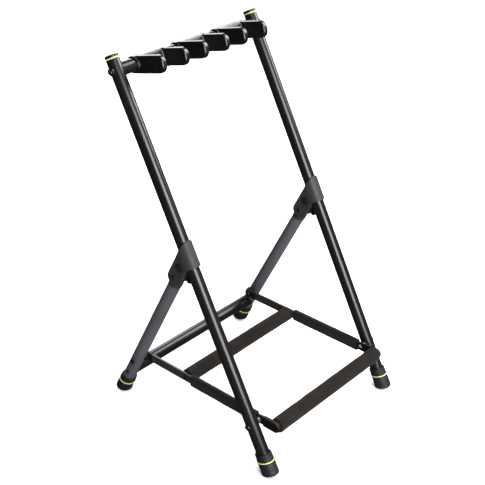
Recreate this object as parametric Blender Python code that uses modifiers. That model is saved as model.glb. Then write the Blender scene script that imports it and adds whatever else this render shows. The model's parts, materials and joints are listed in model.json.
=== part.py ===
"""Folding three-place guitar rack: a leaning front frame with neck yokes, hinged rear legs and a
padded tray. Metres, +Z up, +Y towards the rear legs, +X to the right seen from the front. The
origin is on the floor, midway between the feet."""

import math

import bmesh
import bpy
from mathutils import Matrix, Vector

# Driving dimensions.
GAP = 0.0003
LEAN = math.radians(27.6)
FOOT_Y = 0.1998
LEG_X = 0.1775
TUBE_R = 0.0125
TUBE_WALL = 0.0016
TUBE_START = 0.008
UPRIGHT_TOP = 0.7990
CAP_TOP = 0.8070
CROSSBAR_S = 0.779
SCREW_BORE_R = 0.0034
SCREW_R = 0.0030
INSERT_LENGTH = 0.018
ARM_Z = 0.090
ARM_X = 0.1555
ARM_HEIGHT = 0.018
ARM_THICKNESS = 0.005
FRONT_BAR_OFFSET = 0.0360
MIDDLE_BAR_OFFSET = 0.190
BAR_R = 0.0095
FOAM_R = 0.0148
SIDE_FOAM_HEIGHT = 0.026
SIDE_FOAM_WIDTH = 0.014
SIDE_FOAM_GAP = 0.0075
BOOT_WIDTH = 0.0076
BOOT_WALL = 0.0015
REAR_BAR_T = 0.066
HINGE_T = 0.3804
HINGE_END_T = 0.353
BRACKET_R = 0.016
HOUSING_WIDTH = 0.0312
BRACKET_SLOT = 0.0146
TONGUE_R = 0.012
TONGUE_ROOM = 0.0016
STOP_H = 0.0168
STOP_S = 0.4187
STOP_BOLT_R = 0.0030
SLEEVE_BOTTOM = 0.4105
SLEEVE_TOP = 0.464
BUTTON_H = 0.021
BUTTON_S = 0.388
BUTTON_HEAD_R = 0.0056
BUTTON_STEM_R = 0.0032
BUTTON_LENGTH = 0.022
BUTTON_TRAVEL_ROOM = 0.004
BOLT_R = 0.0037
FOOT_R = 0.0166
FOOT_TOP_R = 0.0155
FOOT_BOTTOM = 0.0015
FOOT_LENGTH = 0.0445
FOOT_RING_R = 0.0169
GROOVE_UP = 0.0298
GROOVE_HEIGHT = 0.0022
GROOVE_R = 0.0144
RING_TILT = math.radians(11)
YOKE_LIFT = math.radians(13.4)
YOKE_SPACING = 0.1035
YOKE_REACH = 0.073
YOKE_HEIGHT = 0.0324
YOKE_DROP = 0.0012
YOKE_R = 0.0156
YOKE_SLEEVE = 0.076
FINGER_THICKNESS = 0.012
FINGER_OUTER = 0.0335
SEGMENTS = 20
HARDWARE_SEGMENTS = 10
BUTTON_SEGMENTS = 14

# Worked-out places.
SIN = math.sin(LEAN)
COS = math.cos(LEAN)
SIDES = (("left", -1), ("right", 1))
TRAY_S = ARM_Z / COS
TRAY_Y = -FOOT_Y + TRAY_S * SIN
HINGE_Y = FOOT_Y - HINGE_T * SIN
HINGE_Z = HINGE_T * COS
HINGE_S = (HINGE_Y + FOOT_Y) * SIN + HINGE_Z * COS
HINGE_H = (HINGE_Y + FOOT_Y) * COS - HINGE_Z * SIN
FOLD = 2 * LEAN
ARM_SPAN = FOOT_Y * 2 - 2 * TRAY_S * SIN


def clear_scene():
    for old in list(bpy.data.objects):
        bpy.data.objects.remove(old, do_unlink=True)


def make_collection(name):
    found = bpy.data.collections.new(name)
    bpy.context.scene.collection.children.link(found)
    return found


def make_material(name, colour, roughness, metallic=0.0):
    made = bpy.data.materials.new(name)
    made.use_nodes = True
    shader = made.node_tree.nodes["Principled BSDF"]
    shader.inputs["Base Color"].default_value = (*colour, 1.0)
    shader.inputs["Roughness"].default_value = roughness
    shader.inputs["Metallic"].default_value = metallic
    return made


clear_scene()
PARTS = make_collection("guitar_rack")
CUTTERS = make_collection("cutters")
BLACK_PAINT = make_material("black_paint", (0.02, 0.02, 0.022), 0.35)
GREY_PAINT = make_material("grey_paint", (0.11, 0.10, 0.11), 0.45)
MOULDING = make_material("grey_moulding", (0.05, 0.05, 0.05), 0.6)
YOKE_RUBBER = make_material("yoke_rubber", (0.012, 0.012, 0.012), 0.5)
FOOT_RUBBER = make_material("foot_rubber", (0.035, 0.035, 0.045), 0.8)
LIME = make_material("lime_plastic", (0.60, 0.72, 0.20), 0.4)
FOAM = make_material("foam", (0.045, 0.035, 0.03), 0.95)
STEEL = make_material("steel", (0.45, 0.45, 0.45), 0.3, 1.0)


def make_empty(name, place, tilt):
    """A frame for the pieces parented to it, turned about X by tilt."""
    made = bpy.data.objects.new(name, None)
    made.location = place
    made.rotation_euler = (tilt, 0, 0)
    PARTS.objects.link(made)
    return made


# Along the uprights z runs up the tube and y behind it. Along the legs y is behind the leg.
FRONT = make_empty("front_frame", (0, -FOOT_Y, 0), -LEAN)
REAR = make_empty("rear_hinge_axis", (0, HINGE_Y, HINGE_Z), LEAN)
TRAY = make_empty("tray_hinge_axis", (0, TRAY_Y, ARM_Z), 0)
BAR = make_empty("crossbar_axis", (0, CROSSBAR_S * SIN - FOOT_Y, CROSSBAR_S * COS), -YOKE_LIFT)


def place(obj, parent, spot, turn, material, cutter=False):
    obj.parent = parent
    obj.location = spot
    obj.rotation_euler = turn
    (CUTTERS if cutter else PARTS).objects.link(obj)
    if cutter:
        obj.hide_render = True
        obj.display_type = "WIRE"
        return obj
    obj.data.materials.clear()
    obj.data.materials.append(material)
    obj.data.shade_smooth()
    obj.data.set_sharp_from_angle(angle=math.radians(35))
    return obj


def arc(centre, radius, start, end, steps):
    """Points on an arc, angles in degrees."""
    found = []
    for index in range(steps + 1):
        angle = math.radians(start + (end - start) * index / steps)
        found.append((centre[0] + radius * math.cos(angle), centre[1] + radius * math.sin(angle)))
    return found


UPWARD = (0, 0, 0)
ALONG_X = (0, math.pi / 2, 0)
ALONG_MINUS_X = (0, -math.pi / 2, 0)


def turned(name, profile, parent, spot, turn, material, cutter=False, closed=False, segments=SEGMENTS):
    """A solid of revolution about local Z. The profile is (radius, height), top to bottom outside."""
    mesh = bpy.data.meshes.new(name)
    points = [(radius, 0, height) for radius, height in profile]
    edges = [(index, index + 1) for index in range(len(points) - 1)]
    if closed:
        edges.append((len(points) - 1, 0))
    mesh.from_pydata(points, edges, [])
    obj = bpy.data.objects.new(name, mesh)
    place(obj, parent, spot, turn, material, cutter)
    screw = obj.modifiers.new("turn", "SCREW")
    screw.steps = segments
    screw.render_steps = segments
    screw.use_merge_vertices = True
    screw.merge_threshold = 0.000001
    screw.use_smooth_shade = True
    return obj


def rod(name, radius, low, high, parent, spot, turn, material=None, cutter=False, segments=SEGMENTS):
    profile = [(0, high), (radius, high), (radius, low), (0, low)]
    return turned(name, profile, parent, spot, turn, material, cutter, segments=segments)


def ring(name, outer, inner, low, high, parent, spot, turn, material, cutter=False):
    profile = [(outer, high), (outer, low), (inner, low), (inner, high)]
    return turned(name, profile, parent, spot, turn, material, cutter, closed=True)


def slab(name, outlines, thickness, parent, spot, material, cutter=False):
    """A flat piece in the local YZ plane, centred on it. Outlines after the first are holes."""
    curve = bpy.data.curves.new(name, "CURVE")
    curve.dimensions = "2D"
    curve.fill_mode = "BOTH"
    curve.extrude = thickness / 2
    for outline in outlines:
        spline = curve.splines.new("POLY")
        spline.points.add(len(outline) - 1)
        for point, (along, up) in zip(spline.points, outline):
            point.co = (along, up, 0, 1)
        spline.use_cyclic_u = True
    shape = bpy.data.objects.new(name + "_outline", curve)
    PARTS.objects.link(shape)
    graph = bpy.context.evaluated_depsgraph_get()
    mesh = bpy.data.meshes.new_from_object(shape.evaluated_get(graph))
    bpy.data.objects.remove(shape, do_unlink=True)
    mesh.name = name
    welded = bmesh.new()
    welded.from_mesh(mesh)
    bmesh.ops.remove_doubles(welded, verts=welded.verts, dist=0.000001)
    to_yz = Matrix(((0, 0, 1), (1, 0, 0), (0, 1, 0))).to_4x4()
    bmesh.ops.transform(welded, matrix=to_yz, verts=welded.verts)
    bmesh.ops.recalc_face_normals(welded, faces=welded.faces)
    welded.to_mesh(mesh)
    welded.free()
    obj = bpy.data.objects.new(name, mesh)
    return place(obj, parent, spot, UPWARD, material, cutter)


def block(name, size, parent, spot, tilt):
    mesh = bpy.data.meshes.new(name)
    box = bmesh.new()
    bmesh.ops.create_cube(box, size=1, matrix=Matrix.Diagonal(Vector((*size, 1))))
    box.to_mesh(mesh)
    box.free()
    obj = bpy.data.objects.new(name, mesh)
    return place(obj, parent, spot, (tilt, 0, 0), None, cutter=True)


def combine(obj, other, operation):
    boolean = obj.modifiers.new(other.name, "BOOLEAN")
    boolean.operation = operation
    boolean.object = other
    boolean.solver = "EXACT"


def cut(obj, *others):
    for other in others:
        combine(obj, other, "DIFFERENCE")


def join(obj, *others):
    for other in others:
        combine(obj, other, "UNION")


def tube(name, low, high, parent, x, material):
    profile = [(TUBE_R, high), (TUBE_R, low), (TUBE_R - TUBE_WALL, low), (TUBE_R - TUBE_WALL, high)]
    return turned(name, profile, parent, (x, 0, 0), UPWARD, material, closed=True)


def plugged_tube(name, radius, half, parent, spot, material):
    """A tube across the rack with a solid insert in each end, bored for a screw."""
    inner = radius - TUBE_WALL
    deep = half - INSERT_LENGTH
    bore = SCREW_BORE_R
    profile = [(radius, half), (radius, -half), (bore, -half), (bore, -deep)]
    profile += [(inner, -deep), (inner, deep), (bore, deep), (bore, half)]
    return turned(name, profile, parent, spot, ALONG_X, material, closed=True)


def coped_bar(name, parent, up, material):
    """A crossbar whose ends are shaped to the round tubes that they butt against."""
    half = LEG_X - TUBE_R + 0.007
    reach = 0.03
    bar = plugged_tube(name, TUBE_R, half, parent, (0, 0, up), material)
    for side, sign in SIDES:
        spot = (sign * LEG_X, 0, up)
        cut(bar, rod(f"{name}_cope_{side}", TUBE_R + GAP, -reach, reach, parent, spot, UPWARD, cutter=True))
    return bar


def bolt_hole(name, obj, parent, spot, radius):
    reach = 0.03
    hole = rod(name, radius, -reach, reach, parent, spot, ALONG_X, cutter=True, segments=HARDWARE_SEGMENTS)
    cut(obj, hole)


def screw_profile(head_r, head_h, shank_r, length):
    """Domed head above z = 0 with a driver recess, shank below."""
    recess_r = head_r * 0.42
    dome = [(recess_r, head_h * 0.55), (recess_r, head_h)]
    dome += [(head_r * 0.75, head_h * 0.85), (head_r, head_h * 0.4), (head_r, 0)]
    return [(0, head_h * 0.55)] + dome + [(shank_r, 0), (shank_r, -length), (0, -length)]


def foot(name, parent, up, x, floor_y, tilt):
    """A rubber boot on the tube's end, cut flat where it stands on the floor. Its mouth and its
    lime ring are tilted from square to the tube towards level."""
    edge = 0.006
    rise = 0.004
    bore = TUBE_R + GAP
    cup = TUBE_START - GAP
    profile = [(0, cup), (bore, cup), (bore, FOOT_LENGTH + rise), (FOOT_TOP_R, FOOT_LENGTH + rise)]
    profile += arc((FOOT_R - edge, FOOT_BOTTOM + edge), edge, 0, -90, 4)
    profile += [(0, FOOT_BOTTOM)]
    profile = [(radius, height + up) for radius, height in profile]
    boot = turned(name, profile, parent, (x, 0, 0), UPWARD, FOOT_RUBBER)
    deep = 0.05
    cut(boot, block(f"{name}_floor", (deep, 2 * deep, deep), None, (x, floor_y, -deep / 2), 0))
    over = (x, math.sin(tilt) * -deep / 2, up + FOOT_LENGTH + math.cos(tilt) * deep / 2)
    cut(boot, block(f"{name}_mouth", (deep, 2 * deep, deep), parent, over, tilt))
    level = (x, 0, up + GROOVE_UP)
    wide = FOOT_RING_R + 2 * rise
    half = GROOVE_HEIGHT / 2
    turn = (tilt, 0, 0)
    cut(boot, ring(f"{name}_groove", wide, GROOVE_R, -half, half, parent, level, turn, None, cutter=True))
    ring(f"{name}_ring", FOOT_RING_R, GROOVE_R + GAP, GAP - half, half - GAP, parent, level, turn, LIME)


def outward(sign):
    """The turn that points local Z away from the rack's middle."""
    return ALONG_X if sign > 0 else ALONG_MINUS_X


def front_frame():
    for side, sign in SIDES:
        x = sign * LEG_X
        upright = tube(f"upright_{side}", TUBE_START, UPRIGHT_TOP, FRONT, x, BLACK_PAINT)
        bolt_hole(f"cut_top_{side}", upright, FRONT, (x, 0, CROSSBAR_S), SCREW_BORE_R)
        bolt_hole(f"cut_tray_{side}", upright, FRONT, (x, 0, TRAY_S), BOLT_R + GAP)
        foot(f"front_foot_{side}", FRONT, 0, x, -FOOT_Y, RING_TILT)
        top_cap(side, x)
        crossbar_fixing(side, sign, x)
    coped_bar("top_crossbar", FRONT, CROSSBAR_S, BLACK_PAINT)


def crossbar_fixing(side, sign, x):
    """Screw through the upright into the crossbar's end, on a washer shaped to the tube."""
    washer_r = 0.0072
    washer_low = -0.0015
    washer_high = 0.0018
    head_r = 0.0052
    head_h = 0.0032
    length = 0.036
    reach = 0.02
    seat = x + sign * (TUBE_R + GAP)
    washer = ring(f"crossbar_washer_{side}", washer_r, SCREW_BORE_R, washer_low, washer_high, FRONT,
                  (seat, 0, CROSSBAR_S), outward(sign), BLACK_PAINT)
    cut(washer, rod(f"saddle_{side}", TUBE_R + GAP, -reach, reach, FRONT, (x, 0, CROSSBAR_S), UPWARD,
                    cutter=True))
    under_head = seat + sign * (washer_high + GAP)
    turned(f"crossbar_screw_{side}", screw_profile(head_r, head_h, SCREW_R, length), FRONT,
           (under_head, 0, CROSSBAR_S), outward(sign), STEEL, segments=HARDWARE_SEGMENTS)


def top_cap(side, x):
    """A black plug in the tube's end. Its dished head holds a thin lime ring on the tube's rim."""
    edge = 0.0009
    dish_r = 0.0085
    dish_edge = 0.001
    top = CAP_TOP
    floor = CAP_TOP - 0.0007
    under = UPRIGHT_TOP + 0.0030
    low = UPRIGHT_TOP - 0.016
    stem = TUBE_R - TUBE_WALL - GAP
    cap = [(0, floor), (dish_r, floor), (dish_r + dish_edge, top), (TUBE_R - edge, top)]
    cap += [(TUBE_R, top - edge), (TUBE_R, under), (stem, under), (stem, low), (0, low)]
    turned(f"top_cap_{side}", cap, FRONT, (x, 0, 0), UPWARD, YOKE_RUBBER)
    ring(f"top_ring_{side}", TUBE_R + GAP, stem + GAP, UPRIGHT_TOP + GAP, under - GAP, FRONT, (x, 0, 0),
         UPWARD, LIME)


def leg_ways():
    """Unit vectors up along the leg and backwards across it, in upright coordinates (behind, up)."""
    return (-math.sin(FOLD), math.cos(FOLD)), (math.cos(FOLD), math.sin(FOLD))


def from_hinge(up, aside):
    """The point so far up the leg and so far behind its axis, in upright coordinates."""
    up_leg, across = leg_ways()
    return (HINGE_H + up * up_leg[0] + aside * across[0], HINGE_S + up * up_leg[1] + aside * across[1])


def bracket_outline():
    """The housing seen from the side: a band along the leg with a round lower end."""
    up_leg, across = leg_ways()
    half = BRACKET_R + TONGUE_ROOM / 3
    start = math.degrees(math.atan2(-across[1], -across[0]))
    points = arc((HINGE_H, HINGE_S), half, start, start + 180, 12)
    for end in (points[-1], points[0]):
        run = end[0] / math.sin(FOLD)
        points.append((0.0, end[1] + run * up_leg[1]))
    return points


def bracket(side, sign):
    """A sleeve on the upright with a slotted housing for the rear leg's tongue. One slanting face
    is the housing's back and the sleeve's top."""
    x = sign * LEG_X
    spare = 0.03
    body = slab(f"hinge_bracket_{side}", [bracket_outline()], HOUSING_WIDTH, FRONT, (x, 0, 0), MOULDING)
    join(body, rod(f"sleeve_{side}", BRACKET_R, SLEEVE_BOTTOM, SLEEVE_TOP, FRONT, (x, 0, 0), UPWARD,
                   cutter=True))
    back = BRACKET_R + TONGUE_ROOM / 3 - GAP
    reach = 0.09
    beyond = [from_hinge(-spare, back), from_hinge(-spare, back + spare)]
    beyond += [from_hinge(reach, back + spare), from_hinge(reach, back)]
    cut(body, slab(f"back_{side}", [beyond], 2 * spare, FRONT, (x, 0, 0), None, cutter=True))
    cut(body, rod(f"sleeve_bore_{side}", TUBE_R + GAP, SLEEVE_BOTTOM - spare, SLEEVE_TOP + spare, FRONT,
                  (x, 0, 0), UPWARD, cutter=True))
    cut(body, hinge_slot(side, x))
    bolt_hole(f"pin_bore_{side}", body, FRONT, (x, HINGE_H, HINGE_S), BOLT_R + GAP)
    bolt_hole(f"bolt_bore_{side}", body, FRONT, (x, STOP_H, STOP_S), STOP_BOLT_R + GAP)
    stem = BUTTON_STEM_R + GAP
    head = BUTTON_HEAD_R + GAP
    step = BUTTON_HEAD_R + BUTTON_TRAVEL_ROOM
    end = BUTTON_LENGTH + BUTTON_TRAVEL_ROOM + GAP
    well = [(0, end), (stem, end), (stem, step), (head, step), (head, -spare / 3), (0, -spare / 3)]
    cut(body, turned(f"button_well_{side}", well, FRONT, (x, BUTTON_H, BUTTON_S), UPWARD, None,
                     cutter=True, segments=HARDWARE_SEGMENTS))


def hinge_slot(side, x):
    """The room that the leg's tongue sweeps between open and folded."""
    radius = TONGUE_R + TONGUE_ROOM
    far = 0.03
    down_leg = math.degrees(math.atan2(-math.cos(FOLD), math.sin(FOLD)))
    swept = arc((HINGE_H, HINGE_S), radius, down_leg + 90, 180, 12)
    swept += [(HINGE_H - radius, HINGE_S - far), from_hinge(-far, radius)]
    return slab(f"hinge_slot_{side}", [swept], BRACKET_SLOT, FRONT, (x, 0, 0), None, cutter=True)


def bracket_hardware(side, sign):
    """The housing's large bolt, the hinge pin and the lock button."""
    x = sign * LEG_X
    face = HOUSING_WIDTH / 2 + GAP
    far = -2 * face
    cap_r = 0.0086
    cap_h = 0.0016
    cap = [(0, cap_h), (cap_r * 0.8, cap_h), (cap_r, cap_h / 2), (cap_r, 0), (STOP_BOLT_R, 0)]
    cap += [(STOP_BOLT_R, far), (cap_r, far), (cap_r, far - cap_h / 2), (cap_r * 0.8, far - cap_h)]
    cap += [(0, far - cap_h)]
    turned(f"bracket_bolt_{side}", cap, FRONT, (x + sign * face, STOP_H, STOP_S), outward(sign), MOULDING,
           segments=BUTTON_SEGMENTS)
    rim = 0.0046
    rim_h = 0.0014
    recess_r = 0.0016
    pin = [(0, rim_h * 0.4), (recess_r, rim_h * 0.4), (recess_r, rim_h), (rim * 0.84, rim_h * 0.85)]
    pin += [(rim, rim_h / 4), (rim, 0), (BOLT_R, 0), (BOLT_R, far), (rim, far), (rim, far - rim_h)]
    pin += [(0, far - rim_h)]
    turned(f"hinge_pin_{side}", pin, FRONT, (x + sign * face, HINGE_H, HINGE_S), outward(sign), STEEL,
           segments=HARDWARE_SEGMENTS)
    neck = math.degrees(math.acos(BUTTON_STEM_R / BUTTON_HEAD_R))
    button = [(0, BUTTON_LENGTH), (BUTTON_STEM_R, BUTTON_LENGTH)]
    button += arc((0, 0), BUTTON_HEAD_R, neck, -90, 8)
    turned(f"lock_button_{side}", button, FRONT, (x, BUTTON_H, BUTTON_S), UPWARD, YOKE_RUBBER,
           segments=BUTTON_SEGMENTS)


def rear_legs():
    """Pieces hung on the rear hinge: local z is measured from the hinge along the leg."""
    down = -HINGE_T
    head_r = 0.0045
    head_h = 0.0024
    length = 0.032
    for side, sign in SIDES:
        x = sign * LEG_X
        leg = tube(f"rear_leg_{side}", down + TUBE_START, down + HINGE_END_T - GAP, REAR, x, GREY_PAINT)
        bolt_hole(f"cut_bar_{side}", leg, REAR, (x, 0, down + REAR_BAR_T), SCREW_BORE_R)
        bolt_hole(f"cut_stud_{side}", leg, REAR, (x, 0, down + TRAY_S), BOLT_R + GAP)
        foot(f"rear_foot_{side}", REAR, down, x, FOOT_Y, -RING_TILT)
        hinge_end(side, x, down)
        outside = x + sign * (TUBE_R + GAP)
        turned(f"rear_bar_screw_{side}", screw_profile(head_r, head_h, SCREW_R, length), REAR,
               (outside, 0, down + REAR_BAR_T), outward(sign), STEEL, segments=HARDWARE_SEGMENTS)
        rest_stud(side, sign, down + TRAY_S, outside)
    coped_bar("rear_crossbar", REAR, down + REAR_BAR_T, BLACK_PAINT)


def hinge_end(side, x, down):
    """Tongue, collar and plug in one moulding at the top of a rear leg."""
    edge = 0.0012
    root = 0.004
    collar_r = 0.013
    collar_top = -0.0185
    collar_low = down + HINGE_END_T
    plug_r = TUBE_R - TUBE_WALL - GAP
    plug_low = collar_low - 0.022
    outline = arc((0, 0), TONGUE_R, 0, 180, 12)
    outline += [(-TONGUE_R, collar_top - root), (TONGUE_R, collar_top - root)]
    tongue = slab(f"leg_hinge_end_{side}", [outline], BRACKET_SLOT - 2 * GAP, REAR, (x, 0, 0), MOULDING)
    profile = [(0, collar_top), (collar_r - edge, collar_top), (collar_r, collar_top - edge)]
    profile += [(collar_r, collar_low), (plug_r, collar_low), (plug_r, plug_low), (0, plug_low)]
    join(tongue, turned(f"hinge_collar_{side}", profile, REAR, (x, 0, 0), UPWARD, None, cutter=True))
    bolt_hole(f"cut_tongue_{side}", tongue, REAR, (x, 0, 0), BOLT_R + GAP)


def rest_stud(side, sign, up, outside):
    """Stud through the leg that the arm's hook drops over, with a disc behind the arm."""
    arm_outer = ARM_X + ARM_THICKNESS / 2
    arm_inner = ARM_X - ARM_THICKNESS / 2
    far = arm_inner - GAP - abs(outside)
    outer_r = 0.0055
    outer_h = 0.0022
    recess_r = 0.002
    inner_r = 0.0062
    inner_h = 0.0034
    disc_r = 0.0115
    stud = [(0, outer_h / 2), (recess_r, outer_h / 2), (recess_r, outer_h), (outer_r * 0.8, outer_h * 0.9)]
    stud += [(outer_r, outer_h * 0.4), (outer_r, 0), (BOLT_R, 0), (BOLT_R, far), (inner_r, far)]
    stud += [(inner_r, far - inner_h / 2), (inner_r * 0.75, far - inner_h), (0, far - inner_h)]
    turned(f"rest_stud_{side}", stud, REAR, (outside, 0, up), outward(sign), STEEL,
           segments=HARDWARE_SEGMENTS)
    low = arm_outer + GAP
    high = LEG_X - TUBE_R - GAP
    half = (high - low) / 2
    ring(f"stud_disc_{side}", disc_r, BOLT_R + GAP, -half, half, REAR,
         (sign * (high + low) / 2, 0, up), ALONG_X, YOKE_RUBBER)


def arm_outline():
    """Flat arm in tray coordinates (behind the pivot, up), with the hook's mouth cut under its rear end."""
    half = ARM_HEIGHT / 2
    front = -FRONT_BAR_OFFSET - BAR_R
    slot = BOLT_R + GAP
    flare = 0.0015
    side_angle = math.radians(math.degrees(math.atan2(-COS, -SIN)) - 90)
    across = (math.cos(side_angle) * slot, math.sin(side_angle) * slot)
    near_y = ARM_SPAN + across[0] - SIN * (half + across[1]) / COS
    far_y = ARM_SPAN - across[0] - SIN * (half - across[1]) / COS
    start = math.degrees(side_angle)
    points = [(near_y - 2 * flare, -half), (near_y, -half + flare)]
    points += arc((ARM_SPAN, 0), slot, start, start - 180, 10)
    points += [(far_y + flare / 3, -half + flare / 2)]
    points += arc((ARM_SPAN, 0), half, -78, 90, 8)
    points += arc((front + half, 0), half, 90, 270, 8)
    return points


def circle(centre, radius, steps=20):
    return arc(centre, radius, 0, 360 * (steps - 1) / steps, steps - 1)


def side_foam(name, x, low, high):
    """Foam sleeve over a flat arm: an oval running along Y with a slot through it for the arm."""
    round_r = SIDE_FOAM_WIDTH / 2
    straight = SIDE_FOAM_HEIGHT / 2 - round_r
    outline = arc((0, straight), round_r, 0, 180, 8) + arc((0, -straight), round_r, 180, 360, 8)
    half_t = ARM_THICKNESS / 2 + GAP
    half_h = ARM_HEIGHT / 2 + GAP
    hole = [(half_t, half_h), (-half_t, half_h), (-half_t, -half_h), (half_t, -half_h)]
    foam = slab(name, [outline, hole], high - low, TRAY, (x, (low + high) / 2, 0), FOAM)
    foam.data.transform(Matrix.Rotation(math.pi / 2, 4, "Z"))


def tray():
    head_r = 0.0046
    head_h = 0.0016
    shank_r = 0.0026
    length = 0.020
    inner = ARM_X - ARM_THICKNESS / 2 - GAP
    for side, sign in SIDES:
        x = sign * ARM_X
        arm = slab(f"tray_arm_{side}", [arm_outline(), circle((0, 0), BOLT_R + GAP)], ARM_THICKNESS, TRAY,
                   (x, 0, 0), GREY_PAINT)
        bolt_hole(f"cut_screw_{side}", arm, TRAY, (x, MIDDLE_BAR_OFFSET, 0), shank_r + GAP)
        side_foam(f"side_foam_{side}", x, SIDE_FOAM_GAP, MIDDLE_BAR_OFFSET - FOAM_R - GAP)
        corner_boot(side, sign, x)
        pivot_hardware(side, sign)
        face = x + sign * (ARM_THICKNESS / 2 + GAP)
        turned(f"middle_bar_screw_{side}", screw_profile(head_r, head_h, shank_r, length), TRAY,
               (face, MIDDLE_BAR_OFFSET, 0), outward(sign), STEEL, segments=HARDWARE_SEGMENTS)
    front_foam = ARM_X - BOOT_WIDTH / 2 - GAP
    for name, y, foam_half in (
        ("front_bar", -FRONT_BAR_OFFSET, front_foam),
        ("middle_bar", MIDDLE_BAR_OFFSET, inner - GAP),
    ):
        plugged_tube(f"{name}_tube", BAR_R, inner, TRAY, (0, y, 0), BLACK_PAINT)
        ring(f"{name}_foam", FOAM_R, BAR_R + GAP, -foam_half, foam_half, TRAY, (0, y, 0), ALONG_X, FOAM)


def round_nosed(centre, radius, end):
    """A band in tray coordinates, round about the centre in front and square at the end."""
    return arc(centre, radius, 90, 270, 10) + [(end, -radius), (end, radius)]


def corner_boot(side, sign, x):
    """Thin rubber boot over the arm's front end, open behind and notched for the front bar."""
    pocket_r = ARM_HEIGHT / 2 + GAP
    nose = (ARM_HEIGHT / 2 - FRONT_BAR_OFFSET - BAR_R, 0)
    end = -SIDE_FOAM_GAP - 5 * GAP
    spare = 0.03
    outline = round_nosed(nose, pocket_r + BOOT_WALL, end)
    boot = slab(f"corner_boot_{side}", [outline], BOOT_WIDTH, TRAY, (x, 0, 0), YOKE_RUBBER)
    pocket = slab(f"corner_pocket_{side}", [round_nosed(nose, pocket_r, spare)],
                  ARM_THICKNESS + 2 * GAP, TRAY, (x, 0, 0), None, cutter=True)
    bar_end = rod(f"corner_bar_{side}", BAR_R + GAP, -spare / 3, 0, TRAY, (x, -FRONT_BAR_OFFSET, 0),
                  outward(sign), cutter=True)
    cut(boot, pocket, bar_end)


def pivot_hardware(side, sign):
    """Bolt through the upright, spacer, and nut on the arm's inner face."""
    head_r = 0.0058
    head_h = 0.0032
    spacer_r = 0.0062
    nut_r = 0.0060
    nut_h = 0.0050
    past_arm = 0.0035
    bore = BOLT_R + GAP
    under_head = LEG_X + TUBE_R + GAP
    inner = ARM_X - ARM_THICKNESS / 2 - GAP
    turned(f"tray_bolt_{side}", screw_profile(head_r, head_h, BOLT_R, under_head - inner + past_arm), TRAY,
           (sign * under_head, 0, 0), outward(sign), STEEL, segments=HARDWARE_SEGMENTS)
    low = ARM_X + ARM_THICKNESS / 2 + GAP
    high = LEG_X - TUBE_R - GAP
    half = (high - low) / 2
    ring(f"tray_spacer_{side}", spacer_r, bore, -half, half, TRAY, (sign * (high + low) / 2, 0, 0),
         ALONG_X, STEEL)
    shoulder = nut_h * 0.7
    nut = [(nut_r * 0.6, nut_h), (nut_r * 0.93, shoulder), (nut_r, 0), (bore, 0), (bore, shoulder)]
    turned(f"tray_nut_{side}", nut, TRAY, (sign * inner, 0, 0), outward(-sign), STEEL, closed=True,
           segments=HARDWARE_SEGMENTS)


def yoke(name, x):
    """Neck rest: a sleeve on the crossbar and two fingers reaching forward (local -Y)."""
    half = YOKE_HEIGHT / 2
    top = half - YOKE_DROP
    low = -half - YOKE_DROP
    heel = 0.003
    inside = 0.0125
    finger = arc((half - YOKE_REACH, -YOKE_DROP), half, 90, 270, 9)
    finger += [(heel, low), (inside, -inside / 2), (inside, inside / 2), (0, top)]
    inner = FINGER_OUTER - FINGER_THICKNESS
    mid = (FINGER_OUTER + inner) / 2
    ends = YOKE_SLEEVE / 2
    body = rod(name, YOKE_R, -ends, ends, BAR, (x, 0, 0), ALONG_X, YOKE_RUBBER)
    for side, sign in SIDES:
        join(body, slab(f"{name}_finger_{side}", [finger], FINGER_THICKNESS, BAR, (x + sign * mid, 0, 0),
                        None, cutter=True))
    web_top = -0.0165
    web_foot = -0.0225
    bend_high = (web_top - 0.002, half * 0.5)
    bend_low = (web_foot + 0.001, -half * 0.4)
    web = [(0, top), (web_top, top), bend_high, bend_low, (web_foot, low), (0, low)]
    into_fingers = 0.001
    join(body, slab(f"{name}_web", [web], 2 * (inner + into_fingers), BAR, (x, 0, 0), None, cutter=True))
    spare = 0.02
    cut(body, rod(f"{name}_bore", TUBE_R + GAP, -ends - spare, ends + spare, BAR, (x, 0, 0), ALONG_X,
                  cutter=True))


def build():
    front_frame()
    for side, sign in SIDES:
        bracket(side, sign)
        bracket_hardware(side, sign)
    rear_legs()
    tray()
    for place_name, index in (("left", -1), ("middle", 0), ("right", 1)):
        yoke(f"neck_yoke_{place_name}", index * YOKE_SPACING)


build()
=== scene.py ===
"""Looks of a folding guitar rack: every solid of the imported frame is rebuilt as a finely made
piece in metres, in the frame's own axes (+Z up, -Y the front), and rides on the same body."""

import json
import math

import bmesh
import bpy
import numpy as np
from mathutils import Matrix, Vector


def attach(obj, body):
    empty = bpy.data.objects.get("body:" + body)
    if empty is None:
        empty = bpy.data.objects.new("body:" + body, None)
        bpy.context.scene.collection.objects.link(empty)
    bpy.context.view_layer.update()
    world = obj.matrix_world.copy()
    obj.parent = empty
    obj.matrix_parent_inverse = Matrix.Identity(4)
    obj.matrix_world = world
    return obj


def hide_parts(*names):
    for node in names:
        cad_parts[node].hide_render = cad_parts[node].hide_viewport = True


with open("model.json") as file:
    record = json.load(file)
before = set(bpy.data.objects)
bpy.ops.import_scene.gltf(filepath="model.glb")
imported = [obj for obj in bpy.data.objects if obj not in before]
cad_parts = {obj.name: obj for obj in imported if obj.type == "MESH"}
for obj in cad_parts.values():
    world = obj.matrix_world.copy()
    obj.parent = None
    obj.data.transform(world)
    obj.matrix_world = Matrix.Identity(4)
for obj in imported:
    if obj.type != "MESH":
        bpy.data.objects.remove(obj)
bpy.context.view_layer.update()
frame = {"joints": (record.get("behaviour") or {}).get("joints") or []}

# Dimensions of the object, the same as its solids have.
GAP = 0.0003
LEAN = math.radians(27.6)
SIN = math.sin(LEAN)
COS = math.cos(LEAN)
FOLD = 2 * LEAN
JOINTS = {joint["name"]: joint for joint in frame["joints"]}
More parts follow.
